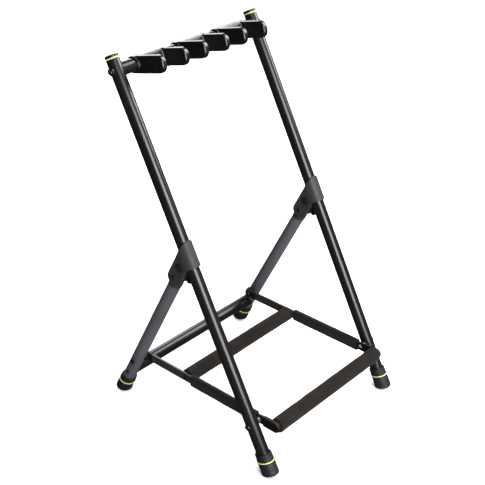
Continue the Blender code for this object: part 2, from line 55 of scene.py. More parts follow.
LEG_HINGE = Vector(JOINTS["rear_fold"]["pos_m"])
TRAY_HINGE = Vector(JOINTS["tray_fold"]["pos_m"])
FOOT_Y = TRAY_HINGE.z * math.tan(LEAN) - TRAY_HINGE.y
LEG_X = 0.1775
TUBE_R = 0.0125
TUBE_WALL = 0.0016
TUBE_START = 0.008
UPRIGHT_TOP = 0.7990
CROSSBAR_S = 0.779
ARM_X = 0.1555
ARM_HEIGHT = 0.018
ARM_THICKNESS = 0.005
FRONT_BAR = -0.0360
MIDDLE_BAR = 0.190
BAR_R = 0.0095
FOAM_R = 0.0148
SIDE_FOAM_HEIGHT = 0.026
SIDE_FOAM_WIDTH = 0.014
SIDE_FOAM_GAP = 0.0075
BOOT_WIDTH = 0.0076
BOOT_WALL = 0.0015
REAR_BAR_T = 0.066
RING_TILT = math.radians(11)
HINGE_T = 0.3804
HINGE_END_T = 0.353
BRACKET_R = 0.016
HOUSING_HALF = 0.0156
BRACKET_SLOT = 0.0146
SLEEVE_BOTTOM = 0.4105
SLEEVE_TOP = 0.464
STOP_H = 0.0168
STOP_S = 0.4187
BUTTON_H = 0.021
BUTTON_S = 0.388
BUTTON_R = 0.0056
BUTTON_STEM_R = 0.0032
BOLT_R = 0.0037
TRAY_S = TRAY_HINGE.z / COS
ARM_SPAN = 2 * (FOOT_Y - TRAY_S * SIN)
HINGE_S = (LEG_HINGE.y + FOOT_Y) * SIN + LEG_HINGE.z * COS
HINGE_H = (LEG_HINGE.y + FOOT_Y) * COS - LEG_HINGE.z * SIN
YOKE_SPACING = 0.1035
YOKE_DROP = 0.0012
YOKE_LIFT = math.radians(13.4)
YOKE_HALF = 0.0162
YOKE_SLEEVE_R = 0.0156
YOKE_SLEEVE_HALF = 0.038
FINGER_OUTER = 0.0335
FINGER_THICK = 0.012
FINGER_REACH = 0.073
FINGER_ROUNDING = 0.0134
YOKE_WALL_Y = 0.0195
YOKE_WALL_SLOPE = 0.2034
HOUSING_R = 0.0165
SLOT_R = 0.0136
BUTTON_WELL = 0.0096
SCREW_R = 0.0030
SPACER_R = 0.0062
STUD_DISC_R = 0.0115
CAP_PLUG_R = 0.0106
RIM_R = 0.0110
SIDES = (("left", -1), ("right", 1))

# Mesh settings: angles in degrees above which an edge stays sharp, and the distance to weld at.
TURNED_SHARP = 40.0
MOULDED_SHARP = 60.0
MERGE = 0.000002

# Looks: the foam's cells, how bright the world is to the object and to the camera, and the lens.
CELLS_PER_METRE = 620.0
WORLD_LIGHT = 0.05
WORLD_BACKDROP = 1.2
SENSOR_MM = 36.0
LENS_MM = 76.83

# Frames that the pieces are drawn in. Along an upright z runs up the tube and y lies behind it.
FRONT = Matrix.Translation((0, -FOOT_Y, 0)) @ Matrix.Rotation(-LEAN, 4, "X")
REAR = Matrix.Translation(LEG_HINGE) @ Matrix.Rotation(LEAN, 4, "X")
TRAY = Matrix.Translation(TRAY_HINGE)
BAR = FRONT @ Matrix.Translation((0, 0, CROSSBAR_S)) @ Matrix.Rotation(LEAN - YOKE_LIFT, 4, "X")


# ---------------------------------------------------------------------------------------------
# Materials
# ---------------------------------------------------------------------------------------------


class Shader:
    """A material being wired: each method adds a node and returns its output."""

    def __init__(self, name, roughness, specular=0.5, metallic=0.0, coat=0.0,
                 coat_roughness=0.2, sheen=0.0):
        self.material = bpy.data.materials.new(name)
        self.material.use_nodes = True
        self.tree = self.material.node_tree
        self.surface = self.tree.nodes["Principled BSDF"]
        fixed = {"Roughness": roughness, "Specular IOR Level": specular, "Metallic": metallic}
        fixed.update({"Coat Weight": coat, "Coat Roughness": coat_roughness, "Sheen Weight": sheen})
        for socket, value in fixed.items():
            self.surface.inputs[socket].default_value = value
        self.place = self.node("ShaderNodeTexCoord").outputs["Object"]

    def node(self, kind, **settings):
        made = self.tree.nodes.new(kind)
        for key, value in settings.items():
            setattr(made, key, value)
        return made

    def put(self, made, socket, value):
        if isinstance(value, bpy.types.NodeSocket):
            self.tree.links.new(value, made.inputs[socket])
        else:
            made.inputs[socket].default_value = value

    def noise(self, scale, detail=3.0, rough=0.5, stretch=None, seed=0.0):
        where = self.place
        if stretch or seed:
            moved = self.node("ShaderNodeMapping")
            self.put(moved, "Vector", where)
            self.put(moved, "Location", (seed, seed * 0.7, seed * 0.3))
            self.put(moved, "Scale", stretch or (1, 1, 1))
            where = moved.outputs["Vector"]
        made = self.node("ShaderNodeTexNoise")
        self.put(made, "Vector", where)
        self.put(made, "Scale", scale)
        self.put(made, "Detail", detail)
        self.put(made, "Roughness", rough)
        return made.outputs["Fac"]

    def cells(self, scale, feature="F1"):
        made = self.node("ShaderNodeTexVoronoi", feature=feature)
        self.put(made, "Vector", self.place)
        self.put(made, "Scale", scale)
        return made.outputs["Distance"]

    def ramp(self, value, low, high, out_low=0.0, out_high=1.0):
        made = self.node("ShaderNodeMapRange")
        for socket, number in (("Value", value), ("From Min", low), ("From Max", high)):
            self.put(made, socket, number)
        self.put(made, "To Min", out_low)
        self.put(made, "To Max", out_high)
        return made.outputs["Result"]

    def maths(self, operation, first, second):
        made = self.node("ShaderNodeMath", operation=operation)
        self.put(made, 0, first)
        self.put(made, 1, second)
        return made.outputs["Value"]

    def mix(self, factor, first, second):
        made = self.node("ShaderNodeMix", data_type="RGBA")
        self.put(made, 0, factor)
        for socket, value in ((6, first), (7, second)):
            self.put(made, socket, (*value, 1.0) if isinstance(value, tuple) else value)
        return made.outputs[2]

    def bump(self, layers):
        """Stacks (height, depth in metres) layers."""
        normal = None
        for height, depth in layers:
            made = self.node("ShaderNodeBump")
            self.put(made, "Strength", 1.0)
            self.put(made, "Distance", depth)
            self.put(made, "Height", height)
            if normal:
                self.put(made, "Normal", normal)
            normal = made.outputs["Normal"]
        self.put(self.surface, "Normal", normal)

    def edges(self, low, high):
        """1 on outside edges, 0 elsewhere."""
        return self.ramp(self.node("ShaderNodeNewGeometry").outputs["Pointiness"], low, high)

    def done(self, colour, roughness):
        self.put(self.surface, "Base Color", colour)
        self.put(self.surface, "Roughness", roughness)
        return self.material


def paint(name, colour, worn, specular, gloss_low, gloss_high):
    """Powder coat: fine orange peel, faint dust and cloudy gloss, rubbed edges."""
    made = Shader(name, 0.4, specular, coat=0.12, coat_roughness=0.18)
    cloud = made.noise(9.0, 4.0, 0.55)
    peel = made.noise(1100.0, 2.0, 0.6)
    dust = made.ramp(made.noise(260.0, 5.0, 0.7, seed=3.1), 0.66, 0.80)
    rub = made.noise(38.0, 4.0, 0.6, stretch=(1, 0.35, 0.35), seed=7.7)
    tint = made.mix(made.ramp(cloud, 0.3, 0.7), colour, tuple(c * 1.35 for c in colour))
    tint = made.mix(made.maths("MULTIPLY", dust, 0.10), tint, worn)
    edge = made.maths("MULTIPLY", made.edges(0.52, 0.60), made.ramp(rub, 0.42, 0.7))
    tint = made.mix(made.maths("MULTIPLY", edge, 0.5), tint, worn)
    shine = made.ramp(cloud, 0.25, 0.75, gloss_low, gloss_high)
    shine = made.maths("ADD", shine, made.maths("MULTIPLY", dust, 0.15))
    made.bump([(peel, 0.000016), (rub, 0.00004)])
    return made.done(tint, shine)


def moulding(name, colour, specular, gloss_low, gloss_high, grain=1500.0, depth=0.00004):
    """Moulded plastic or rubber with a fine etched grain, slightly glossier edges and a painted
    highlight: outside edges lightened in colour.
    """
    made = Shader(name, 0.5, specular)
    cloud = made.noise(14.0, 3.0, 0.5)
    pits = made.noise(grain, 3.0, 0.65)
    flow = made.noise(60.0, 3.0, 0.5, stretch=(0.3, 1, 1), seed=1.9)
    tint = made.mix(made.ramp(cloud, 0.3, 0.7), colour, tuple(c * 1.3 for c in colour))
    tint = made.mix(made.ramp(pits, 0.35, 0.75), tint, tuple(c * 0.7 for c in colour))
    # Painted highlight: the outside edges are lightened in colour, standing in for the lights'
    # reflection along the rims.
    edge = made.edges(0.53, 0.62)
    tint = made.mix(made.maths("MULTIPLY", edge, 0.35), tint, tuple(c * 2.2 + 0.01 for c in colour))
    shine = made.ramp(flow, 0.3, 0.7, gloss_low, gloss_high)
    shine = made.maths("SUBTRACT", shine, made.maths("MULTIPLY", edge, 0.08))
    made.bump([(pits, depth), (flow, 0.00002)])
    return made.done(tint, shine)


def foam(name, dark, light, specular):
    """Closed-cell foam sleeve: small cells, a dull skin and blotchy colour."""
    made = Shader(name, 0.9, specular, sheen=0.04)
    cell = made.cells(CELLS_PER_METRE)
    wall = made.cells(CELLS_PER_METRE, "DISTANCE_TO_EDGE")
    blotch = made.noise(26.0, 5.0, 0.6)
    fine = made.noise(900.0, 4.0, 0.7)
    crease = made.noise(70.0, 4.0, 0.6, stretch=(0.35, 1, 1), seed=5.3)
    tint = made.mix(made.ramp(blotch, 0.32, 0.68), dark, light)
    tint = made.mix(made.ramp(wall, 0.0, 0.16, 0.55, 0.0), tint, tuple(c * 0.4 for c in dark))
    tint = made.mix(made.ramp(fine, 0.62, 0.8, 0.0, 0.30), tint, tuple(c * 2.0 for c in light))
    shine = made.ramp(crease, 0.3, 0.7, 0.72, 0.92)
    made.bump([(crease, 0.00025), (cell, 0.00016), (fine, 0.00008)])
    return made.done(tint, shine)


def lime():
    """Translucent pale lime plastic with faint flow marks."""
    made = Shader("lime_plastic", 0.35, 0.5, coat=0.2, coat_roughness=0.1)
    made.surface.inputs["Subsurface Weight"].default_value = 0.12
    made.surface.inputs["Subsurface Scale"].default_value = 0.002
    made.surface.inputs["Subsurface Radius"].default_value = (1.0, 1.0, 0.3)
    cloud = made.noise(90.0, 3.0, 0.5)
    fine = made.noise(1400.0, 2.0, 0.6)
    tint = made.mix(made.ramp(cloud, 0.3, 0.7), (0.40, 0.48, 0.13), (0.48, 0.56, 0.20))
    tint = made.mix(made.ramp(fine, 0.6, 0.8, 0.0, 0.25), tint, (0.30, 0.38, 0.08))
    made.bump([(fine, 0.00003)])
    return made.done(tint, made.ramp(cloud, 0.3, 0.7, 0.28, 0.42))


def steel(name, colour, gloss_low, gloss_high):
    """Turned, darkened steel: fine rings of tool marks and brighter rubbed edges."""
    made = Shader(name, 0.35, 0.5, metallic=1.0)
    cloud = made.noise(220.0, 4.0, 0.6)
    marks = made.noise(2600.0, 2.0, 0.5, stretch=(0.15, 1, 1))
    tint = made.mix(made.ramp(cloud, 0.3, 0.7), colour, tuple(c * 1.5 for c in colour))
    tint = made.mix(made.maths("MULTIPLY", made.edges(0.53, 0.62), 0.6), tint, (0.62, 0.61, 0.60))
    made.bump([(marks, 0.00002)])
    return made.done(tint, made.ramp(cloud, 0.25, 0.75, gloss_low, gloss_high))


PAINT = paint("black_paint", (0.0035, 0.0035, 0.004), (0.035, 0.035, 0.035), 0.36, 0.25, 0.32)
GREY_PAINT = paint("grey_paint", (0.044, 0.040, 0.048), (0.11, 0.105, 0.115), 0.38, 0.36, 0.46)
ARM_PAINT = paint("arm_paint", (0.015, 0.014, 0.016), (0.07, 0.07, 0.072), 0.36, 0.34, 0.44)
MOULDING = moulding("grey_moulding", (0.0200, 0.0200, 0.0205), 0.30, 0.44, 0.56)
RUBBER = moulding("yoke_rubber", (0.0026, 0.0026, 0.0026), 0.60, 0.28, 0.38, 1900.0, 0.00001)
BOOT_RUBBER = moulding("boot_rubber", (0.0032, 0.0032, 0.0033), 0.26, 0.50, 0.64, 1300.0, 0.00004)
FOOT_RUBBER = moulding("foot_rubber", (0.0060, 0.0063, 0.0085), 0.30, 0.50, 0.64, 1100.0, 0.00006)
BAR_FOAM = foam("bar_foam", (0.0050, 0.0036, 0.0026), (0.0105, 0.0076, 0.0056), 0.10)
ARM_FOAM = foam("arm_foam", (0.0042, 0.0042, 0.0045), (0.0085, 0.0085, 0.0090), 0.14)
LIME = lime()
STEEL = steel("dark_steel", (0.045, 0.045, 0.047), 0.36, 0.50)
BRIGHT_STEEL = steel("bright_steel", (0.09, 0.09, 0.094), 0.34, 0.48)


# ---------------------------------------------------------------------------------------------
# Meshes
# ---------------------------------------------------------------------------------------------


def piece(name, points, faces, place, material, body, *nodes, sharp=TURNED_SHARP):
    """Makes the object, lets it ride on its body and stand for its CAD nodes."""
    mesh = bpy.data.meshes.new(name)
    mesh.from_pydata([tuple(p) for p in points], [], [tuple(f) for f in faces])
    mesh.transform(place)
    fixed = bmesh.new()
    fixed.from_mesh(mesh)
    bmesh.ops.remove_doubles(fixed, verts=fixed.verts, dist=MERGE)
    bmesh.ops.recalc_face_normals(fixed, faces=fixed.faces)
    fixed.to_mesh(mesh)
    fixed.free()
    mesh.shade_smooth()
    mesh.set_sharp_from_angle(angle=math.radians(sharp))
    mesh.materials.append(material)
    obj = bpy.data.objects.new(name, mesh)
    bpy.context.scene.collection.objects.link(obj)
    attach(obj, body)
    if nodes:
        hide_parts(*nodes)
    return obj


def softened(profile, radius, steps=4):
    """The open or closed run of points with each inner corner rounded off by about radius."""
    found = [profile[0]]
    for before, corner, after in zip(profile, profile[1:], profile[2:]):
        before, corner, after = (np.array(p[:2], float) for p in (before, corner, after))
        back, ahead = before - corner, after - corner
        reach = min(radius, np.hypot(*back) * 0.45, np.hypot(*ahead) * 0.45)
        start = corner + back / np.hypot(*back) * reach
        end = corner + ahead / np.hypot(*ahead) * reach
        for step in range(steps + 1):
            t = step / steps
            found.append(tuple((1 - t) ** 2 * start + 2 * t * (1 - t) * corner + t * t * end))
    return found + [profile[-1]]


def lathe(name, profile, place, material, body, *nodes, segments=64, closed=False, sides=None,
          shape=None):
    """Turns (radius, height) points about local Z. sides gives the number of flats at chosen
    points of the profile, and shape moves the finished points."""
    sides = sides or {}
    angles = np.arange(segments) * 2 * math.pi / segments
    rings = []
    for index, (radius, height) in enumerate(profile):
        radii = np.full(segments, float(radius))
        if index in sides:
            step = 2 * math.pi / sides[index]
            radii *= math.cos(step / 2) / np.cos((angles % step) - step / 2)
        turn = (radii * np.cos(angles), radii * np.sin(angles), np.full(segments, height))
        rings.append(np.stack(turn, 1))
    points = np.concatenate(rings)
    if shape:
        points = shape(points)
    faces = []
    count = len(profile)
    for ring in range(count if closed else count - 1):
        low, high = ring * segments, (ring + 1) % count * segments
        for k in range(segments):
            following = (k + 1) % segments
            faces.append((low + k, low + following, high + following, high + k))
    return piece(name, points, faces, place, material, body, *nodes)


def moulded(name, distance, low, high, step, place, material, body, *nodes):
    """One closed skin where distance(x, y, z) is zero, drawn in cells of size step."""
    low = np.array(low, float) - 2 * step
    high = np.array(high, float) + 2 * step
    ticks = [np.arange(a, b, step) for a, b in zip(low, high)]
    field = distance(*np.meshgrid(*ticks, indexing="ij"))
    inside = field < 0
    cells = np.array(field.shape) - 1
    total = np.zeros((*cells, 3))
    count = np.zeros(cells)
    crossings = []
    for axis in range(3):
        near = [slice(None)] * 3
        far = [slice(None)] * 3
        near[axis], far[axis] = slice(None, -1), slice(1, None)
        near, far = tuple(near), tuple(far)
        at = np.argwhere(inside[near] != inside[far])
        here = field[near][tuple(at.T)]
        there = field[far][tuple(at.T)]
        spot = at.astype(float)
        spot[:, axis] += here / (here - there)
        others = [a for a in range(3) if a != axis]
        around = []
        for first, second in ((0, 0), (1, 0), (1, 1), (0, 1)):
            cell = at.copy()
            cell[:, others[0]] -= first
            cell[:, others[1]] -= second
            np.add.at(total, tuple(cell.T), spot)
            np.add.at(count, tuple(cell.T), 1)
            around.append(cell)
        crossings.append(np.stack(around, 1))
    used = count > 0
    number = np.cumsum(used.reshape(-1)).reshape(used.shape) - 1
    points = low + step * total[used] / count[used][:, None]
    faces = np.concatenate([number[tuple(np.moveaxis(c, 2, 0))] for c in crossings])
    small = step * 0.2
    for _ in range(3):
        here = distance(*points.T)
        slope = np.stack(
            [(distance(*(points + small * unit).T) - here) / small for unit in np.eye(3)], 1
        )
        steepness = np.maximum((slope**2).sum(1), 0.3)
        move = -np.clip(here, -step, step)[:, None] * slope / steepness[:, None]
        points = points + move
    return piece(name, points, faces, place, material, body, *nodes, sharp=MOULDED_SHARP)


def waves(seed, count=14, shortest=0.006, longest=0.06):
    """Smooth repeatable unevenness, about -1 to 1, as a function of place in metres."""
    dice = np.random.default_rng(seed)
    ways = dice.normal(size=(count, 3))
    ways /= np.linalg.norm(ways, axis=1)[:, None]
    lengths = shortest * (longest / shortest) ** dice.random(count)
    starts = dice.random(count) * 2 * math.pi
    weights = lengths / lengths.sum()

    def height(x, y, z):
        found = 0
        for way, length, start, weight in zip(ways, lengths, starts, weights):
            along = way[0] * x + way[1] * y + way[2] * z
            found = found + weight * np.sin(2 * math.pi * along / length + start)
        return found * 2

    return height


# Distances to simple solids, joined below into moulded shapes.


def smooth_min(first, second, blend):
    share = np.clip(0.5 + 0.5 * (second - first) / blend, 0, 1)
    return second + (first - second) * share - blend * share * (1 - share)


def smooth_max(first, second, blend):
    return -smooth_min(-first, -second, blend)


def crossed(flat, thickness, rounding):
    """A flat shape's distance, given a thickness' distance, with rounded rims."""
    first = flat + rounding
    second = thickness + rounding
    outside = np.hypot(np.maximum(first, 0), np.maximum(second, 0))
    return outside + np.minimum(np.maximum(first, second), 0) - rounding


def rounded_box(first, second, half_first, half_second, rounding):
    first = np.abs(first) - half_first + rounding
    second = np.abs(second) - half_second + rounding
    outside = np.hypot(np.maximum(first, 0), np.maximum(second, 0))
    return outside + np.minimum(np.maximum(first, second), 0) - rounding


def across(x, y=0.0, z=0.0, sign=1):
    """Local Z turned to point along X, outwards on the side of sign."""
    return Matrix.Translation((x, y, z)) @ Matrix.Rotation(sign * math.pi / 2, 4, "Y")


# ---------------------------------------------------------------------------------------------
# Tubes
# ---------------------------------------------------------------------------------------------


def tube(name, low, high, frame_of, x, material, body):
    inner = TUBE_R - TUBE_WALL
    profile = [(TUBE_R, (low + high) / 2), (TUBE_R, low), (inner, low), (inner, high)]
    profile += [(TUBE_R, high), (TUBE_R, (low + high) / 2 + 0.001)]
    profile = softened(profile, 0.0005)
    lathe(name, profile, frame_of @ Matrix.Translation((x, 0, 0)), material, body, name, closed=True)


def solid_bar(name, radius, half, place, material, body):
    profile = [(0, half), (radius, half), (radius, 0), (radius, -half), (0, -half)]
    lathe(name, softened(profile, 0.0006), place, material, body, name)


def screw(name, place, head_r, head_h, shank_r, length, material, body, *nodes):
    """Domed head with a hexagon socket, a chamfered shank below."""
    socket = head_r * 0.50
    deep = head_h * 0.30
    outside = [(socket * 1.10, head_h), (head_r * 0.72, head_h * 0.90), (head_r * 0.93, head_h * 0.55)]
    outside += [(head_r, head_h * 0.18), (head_r * 0.985, 0), (shank_r, 0)]
    outside = softened(outside, head_h * 0.25, 3)
    outside += [(shank_r, -length + 0.0006), (shank_r - 0.0006, -length), (0, -length)]
    inside = [(0, deep * 0.8), (socket * 0.97, deep), (socket, deep + 0.0001), (socket, head_h * 0.93)]
    sides = {1: 6, 2: 6, 3: 6}
    lathe(name, inside + outside, place, material, body, *nodes, segments=48, sides=sides)


def foot(name, frame_of, up, x, body, tilt):
    """Rubber boot with a rolled lip, a waist for the thin lime ring and a flared tread, flat on the
    floor. Its mouth, ring and tread are tilted from square to the tube towards level."""
    edge = 0.0008
    bore = TUBE_R + GAP / 2
    outer = [(0, 0.0077), (bore, 0.0077), (bore, 0.0430), (0.0132, 0.0443), (0.0146, 0.0445)]
    outer += [(0.0155, 0.0435), (0.0156, 0.0392), (0.0150, 0.0384), (0.0150, 0.0376), (0.0156, 0.0368)]
    outer += [(0.0157, 0.0313), (0.0145, 0.0309), (0.0145, 0.0288), (0.0158, 0.0286)]
    outer += [(0.0162, 0.0135), (0.0159, 0.0127), (0.0159, 0.0119), (0.0163, 0.0111)]
    outer += [(0.0166, 0.0060), (0.0160, 0.0028), (0.0132, 0.0015), (0, 0.0015)]
    profile = softened(outer, edge, 3)
    place = frame_of @ Matrix.Translation((x, 0, up))
    turned = np.array(place)
    undo = np.array(place.inverted())

    def tilted(points):
        """Slides the outside along the tube, then presses it flat against the floor."""
        outside = np.clip((np.hypot(points[:, 0], points[:, 1]) - bore) / 0.0005, 0, 1)
        points[:, 2] += math.tan(tilt) * points[:, 1] * outside
        world = points @ turned[:3, :3].T + turned[:3, 3]
        world[:, 2] = np.maximum(world[:, 2], 0)
        return world @ undo[:3, :3].T + undo[:3, 3]

    lathe(name, profile, place, FOOT_RUBBER, body, name, segments=96, shape=tilted)
    ring = [(0.0168, 0.0298), (0.0168, 0.0293), (0.0164, 0.0290), (0.0147, 0.0290)]
    ring += [(0.0147, 0.0306), (0.0164, 0.0306), (0.0168, 0.0303), (0.0168, 0.0299)]
    lathe(name + "_ring", softened(ring, 0.0003, 3), place, LIME, body, name + "_ring", segments=96,
          closed=True, shape=tilted)


def top_cap(side, x):
    """Black plug in the tube's top, its dished head holding a thin lime ring on the rim."""
    base = UPRIGHT_TOP
    place = FRONT @ Matrix.Translation((x, 0, 0))
    cap = [(0, 0.0071), (0.0028, 0.0070), (0.0032, 0.0074), (0.0082, 0.0073), (0.0094, 0.0080)]
    cap += [(0.0112, 0.0080), (0.0122, 0.0075), (0.0126, 0.0066), (0.0127, 0.0034), (0.0123, 0.0030)]
    cap += [(CAP_PLUG_R, 0.0030), (CAP_PLUG_R, -0.016), (0, -0.016)]
    cap = [(r, base + h) for r, h in softened(cap, 0.0004, 3)]
    lathe(f"top_cap_{side}", cap, place, RUBBER, "front_frame", f"top_cap_{side}", segments=96)
    outer = TUBE_R + GAP
    collar = [(outer, 0.0018), (outer, 0.0008), (outer - 0.0005, GAP), (RIM_R, GAP), (RIM_R, 0.0027)]
    collar += [(outer - 0.0005, 0.0027), (outer, 0.0023), (outer, 0.0019)]
    collar = [(r, base + h) for r, h in softened(collar, 0.0003, 3)]
    lathe(f"top_ring_{side}", collar, place, LIME, "front_frame", f"top_ring_{side}", segments=96,
          closed=True)


def crossbar_end(side, sign):
    """Screw head on a washer that is hollowed to the upright's curve."""
    x = sign * LEG_X
    seat = TUBE_R + GAP

    def washer(px, py, pz):
        disc = np.hypot(py, pz) - 0.0072
        body = crossed(disc, np.abs(px - seat) - 0.0018, 0.0005)
        return np.maximum(np.maximum(body, seat - np.hypot(px, py)), 0.0033 - np.hypot(py, pz))

    place = FRONT @ Matrix.Translation((x, 0, CROSSBAR_S))
    if sign < 0:
        place = place @ Matrix.Rotation(math.pi, 4, "Z")
    moulded(f"crossbar_washer_{side}", washer, (0.009, -0.008, -0.008), (0.016, 0.008, 0.008), 0.0003,
            place, PAINT, "front_frame", f"crossbar_washer_{side}")
    head = place @ across(seat + 0.0018 + GAP)
    screw(f"crossbar_screw_{side}", head, 0.0052, 0.0032, SCREW_R, 0.036, STEEL, "front_frame",
          f"crossbar_screw_{side}")


# ---------------------------------------------------------------------------------------------
# Hinge brackets and leg tops
# ---------------------------------------------------------------------------------------------


def bracket_distance(x, y, z):
    """Sleeve and slotted housing, in the upright's frame with x from the tube's axis. One
    slanting face is the housing's back and the sleeve's top."""
    behind, up = y - HINGE_H, z - HINGE_S
    along = -behind * math.sin(FOLD) + up * math.cos(FOLD)
    aside = behind * math.cos(FOLD) + up * math.sin(FOLD)
    band = np.where(along > 0, np.abs(aside), np.hypot(along, aside)) - HOUSING_R
    band = np.maximum(band, -y)
    housing = crossed(band, np.abs(x) - HOUSING_HALF, 0.0014)
    middle = (SLEEVE_TOP + SLEEVE_BOTTOM) / 2
    half = (SLEEVE_TOP - SLEEVE_BOTTOM) / 2
    sleeve = crossed(np.hypot(x, y) - BRACKET_R, np.abs(z - middle) - half, 0.0011)
    body = smooth_min(housing, sleeve, 0.0026)
    body = smooth_max(body, aside - 0.0162, 0.0016)
    body = smooth_max(body, TUBE_R + GAP - np.hypot(x, y), 0.0006)
    down_leg = (math.sin(FOLD), -math.cos(FOLD))
    reach = [np.maximum(0, behind * d[0] + up * d[1]) for d in (down_leg, (0, -1))]
    first = np.hypot(behind - reach[0] * down_leg[0], up - reach[0] * down_leg[1])
    second = np.hypot(behind, up + reach[1])
    between = (behind > 0) & (behind * down_leg[1] - up * down_leg[0] > 0)
    swept = np.where(between, 0, np.minimum(first, second)) - SLOT_R
    slot = np.maximum(swept, np.abs(x) - BRACKET_SLOT / 2)
    body = smooth_max(body, -slot, 0.0008)
    well = np.hypot(x, y - BUTTON_H) - BUTTON_R - GAP
    well = np.maximum(well, z - BUTTON_S - BUTTON_WELL)
    return smooth_max(body, -well, 0.0005)


def bracket(side, sign):
    """Bracket, the round-headed bolt with a plain ring let into either head, the hinge pin and
    the round lock button below."""
    x = sign * LEG_X
    name = f"hinge_bracket_{side}"
    low = (-0.017, -0.017, 0.382)
    high = (0.017, 0.060, 0.465)
    place = FRONT @ Matrix.Translation((x, 0, 0))
    moulded(name, bracket_distance, low, high, 0.0006, place, MOULDING, "front_frame", name)
    face = HOUSING_HALF + GAP
    far = -2 * face
    rim = [(0, 0.0011), (0.0036, 0.0011), (0.0036, 0.0004), (0.0052, 0.0004), (0.0052, 0.0011)]
    rim += [(0.0070, 0.0011), (0.0074, 0.0004), (0.0084, 0.0004), (0.0084, 0)]
    cap = rim + [(SCREW_R, 0), (SCREW_R, far)] + [(r, far - h) for r, h in reversed(rim)]
    out = across(x + sign * face, STOP_H, STOP_S, sign)
    lathe(f"bracket_bolt_{side}", softened(cap, 0.0003, 3), FRONT @ out, BOOT_RUBBER, "front_frame",
          f"bracket_bolt_{side}")
    small, large = 0.0038, 0.0050
    inlay = [(large, 0.0006), (large, 0.0003), (small, 0.0003), (small, 0.0009)]
    inlay = softened(inlay + [(large, 0.0009), (large, 0.0007)], 0.0002, 2)
    inner = out @ Matrix.Translation((0, 0, far))
    for face_name, seat, way in (("outer", out, 1), ("inner", inner, -1)):
        lathe(f"bolt_ring_{face_name}_{side}", [(r, way * h) for r, h in inlay], FRONT @ seat,
              MOULDING, "front_frame", closed=True)
    head = 0.0046
    pin = [(0, 0.0003), (0.0015, 0.0003), (0.0018, 0.0011), (0.0038, 0.0010), (head, 0.0003)]
    pin += [(head, 0), (BOLT_R, 0), (BOLT_R, far), (head, far), (head, far - 0.0014)]
    pin.append((0, far - 0.0014))
    out = across(x + sign * face, HINGE_H, HINGE_S, sign)
    lathe(f"hinge_pin_{side}", softened(pin, 0.0003, 3), FRONT @ out, BRIGHT_STEEL, "front_frame",
          f"hinge_pin_{side}")
    neck = math.acos(BUTTON_STEM_R / BUTTON_R)
    knob = [(0, 0.022), (BUTTON_STEM_R, 0.022), (BUTTON_STEM_R, 0.0062)]
    knob += [(BUTTON_R * math.cos(a), BUTTON_R * math.sin(a)) for a in np.linspace(neck, -1.5, 16)]
    knob += [(0, -BUTTON_R)]
    lathe(f"lock_button_{side}", knob, FRONT @ Matrix.Translation((x, BUTTON_H, BUTTON_S)), RUBBER,
          f"button_{side}", f"lock_button_{side}", segments=48)


def hinge_end(side, sign):
    """Tongue and collar moulded in one, plugged into the leg's tube."""
    x = sign * LEG_X
    low = -HINGE_T + HINGE_END_T
    top = -0.0185

    def solid(px, py, pz):
        tongue = np.hypot(py, np.maximum(pz, 0)) - 0.012
        tongue = np.maximum(tongue, top - 0.004 - pz)
        tongue = crossed(tongue, np.abs(px) - (BRACKET_SLOT / 2 - GAP), 0.0008)
        length = np.abs(pz - (low + top) / 2) - (top - low) / 2
        collar = crossed(np.hypot(px, py) - 0.013, length, 0.0009)
        plug = np.maximum(np.hypot(px, py) - 0.0105, np.abs(pz - low) - 0.006)
        body = np.minimum(smooth_min(tongue, collar, 0.0016), plug)
        return np.maximum(body, BOLT_R + GAP - np.hypot(py, pz))

    name = f"leg_hinge_end_{side}"
    place = REAR @ Matrix.Translation((x, 0, 0))
    moulded(name, solid, (-0.0135, -0.0135, low - 0.007), (0.0135, 0.0135, 0.0125), 0.0005, place,
            MOULDING, "rear_frame", name)
    dot = place @ Matrix.Translation((0, 0, low + 0.0034)) @ across(sign * 0.0129, sign=sign)
    screw(f"collar_screw_{side}", dot, 0.0017, 0.0005, 0.001, 0.004, STEEL, "rear_frame")


# ---------------------------------------------------------------------------------------------
# Tray
# ---------------------------------------------------------------------------------------------


def flat_arm(side, sign):
    """Flat dark grey bar with rolled edges. Its front end by the pivot and the hook at its rear end
    are black mouldings."""
    half = ARM_HEIGHT / 2
    front = FRONT_BAR - BAR_R
    slot = BOLT_R + GAP
    seams = (front, SIDE_FOAM_GAP + 0.002, ARM_SPAN - 0.021, ARM_SPAN + half)

    def whole(px, py, pz):
        reach = np.clip(py, front + half, ARM_SPAN)
        outline = np.hypot(py - reach, pz) - half
        outline = np.maximum(outline, slot - np.hypot(py, pz))
        behind, up = py - ARM_SPAN, pz
        along = np.maximum(0, -behind * SIN - up * COS)
        mouth = np.hypot(behind + along * SIN, up + along * COS) - slot
        outline = smooth_max(outline, -mouth, 0.0008)
        return crossed(outline, np.abs(px) - ARM_THICKNESS / 2, 0.0009)

    def part(low, high):
        middle, reach = (low + high) / 2, (high - low) / 2 - 0.0001
        return lambda px, py, pz: smooth_max(whole(px, py, pz), np.abs(py - middle) - reach, 0.0008)

    place = TRAY @ Matrix.Translation((sign * ARM_X, 0, 0))
    kinds = (("nose", BOOT_RUBBER, -0.001, 0), ("arm", ARM_PAINT, 0, 0))
    kinds += (("hook", BOOT_RUBBER, 0, 0.001),)
    for (kind, material, before, past), low, high in zip(kinds, seams, seams[1:]):
        nodes = [f"tray_arm_{side}"] if kind == "arm" else []
        moulded(f"tray_{kind}_{side}", part(low + before, high + past), (-0.003, low, -half),
                (0.003, high, half), 0.0006, place, material, "tray", *nodes)


